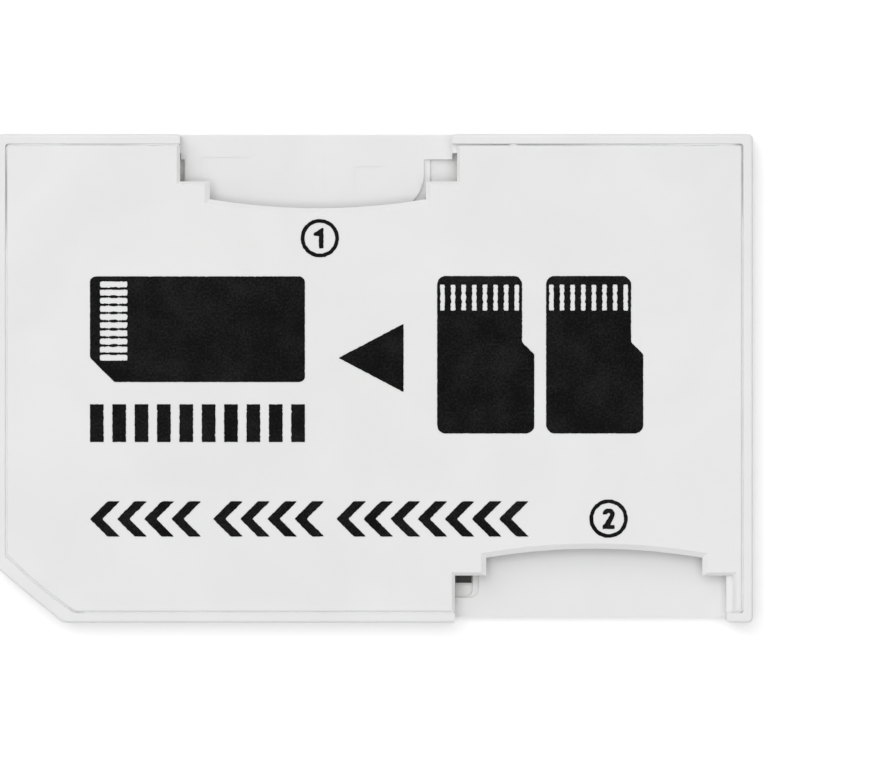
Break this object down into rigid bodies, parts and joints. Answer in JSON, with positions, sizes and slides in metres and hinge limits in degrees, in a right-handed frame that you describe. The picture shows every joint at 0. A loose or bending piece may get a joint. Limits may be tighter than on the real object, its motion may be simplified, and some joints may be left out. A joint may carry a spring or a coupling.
{
  "type": "memory card adapter",
  "caption": "White two-slot memory card adapter with the outline of a small host card: a shell and a set-in cover, a black circuit board, ten host contacts and eight contact springs in each slot.",
  "frame": {"origin": "middle of the outline on the back face, which lies down", "axes": "+X along the length, away from the host contacts; +Y towards the edge where slot 1 opens; +Z out of the printed cover"},
  "size_m": [0.031, 0.02, 0.0016],
  "materials": {
    "white_case": "satin",
    "board": "satin",
    "comb": "matt",
    "chip": "matt",
    "gilding": "polished",
    "spring_metal": "polished",
    "capacitor": "satin",
    "resistor": "satin",
    "ink": "matt"
  },
  "bodies": {
    "adapter": {"base_shell": "white_case", "top_cover": "white_case", "circuit_board": "board", "slot_1_comb": "comb", "slot_2_comb": "comb", "controller_chip": "chip", "host_contact_01": "gilding", "host_contact_02": "gilding", "host_contact_03": "gilding", "host_contact_04": "gilding", "host_contact_05": "gilding", "host_contact_06": "gilding", "host_contact_07": "gilding", "host_contact_08": "gilding", "host_contact_09": "gilding", "host_contact_10": "gilding", "capacitor_1": "capacitor", "capacitor_2": "capacitor", "capacitor_3": "capacitor", "capacitor_4": "capacitor", "resistor_1": "resistor", "resistor_2": "resistor", "resistor_3": "resistor", "resistor_4": "resistor", "resistor_5": "resistor", "resistor_6": "resistor", "number_1_print": "ink", "number_2_print": "ink", "host_card_print": "ink", "tick_print": "ink", "arrow_print": "ink", "small_card_1_print": "ink", "small_card_2_print": "ink", "chevron_print": "ink"},
    "slot_1_springs": {"slot_1_spring_1": "spring_metal", "slot_1_spring_2": "spring_metal", "slot_1_spring_3": "spring_metal", "slot_1_spring_4": "spring_metal", "slot_1_spring_5": "spring_metal", "slot_1_spring_6": "spring_metal", "slot_1_spring_7": "spring_metal", "slot_1_spring_8": "spring_metal"},
    "slot_2_springs": {"slot_2_spring_1": "spring_metal", "slot_2_spring_2": "spring_metal", "slot_2_spring_3": "spring_metal", "slot_2_spring_4": "spring_metal", "slot_2_spring_5": "spring_metal", "slot_2_spring_6": "spring_metal", "slot_2_spring_7": "spring_metal", "slot_2_spring_8": "spring_metal"}
  },
  "joints": [
    {"name": "slot_1_spring_flex", "type": "hinge", "parent": "adapter", "child": "slot_1_springs", "pos_m": [-0.00172, -0.008, 0.00063], "axis": [-1, 0, 0], "range_deg": [0, 4.3], "stiffness_Nm_per_rad": 0.2},
    {"name": "slot_2_spring_flex", "type": "hinge", "parent": "adapter", "child": "slot_2_springs", "pos_m": [0.00824, 0.008, 0.00063], "axis": [1, 0, 0], "range_deg": [0, 4.3], "stiffness_Nm_per_rad": 0.2}
  ]
}
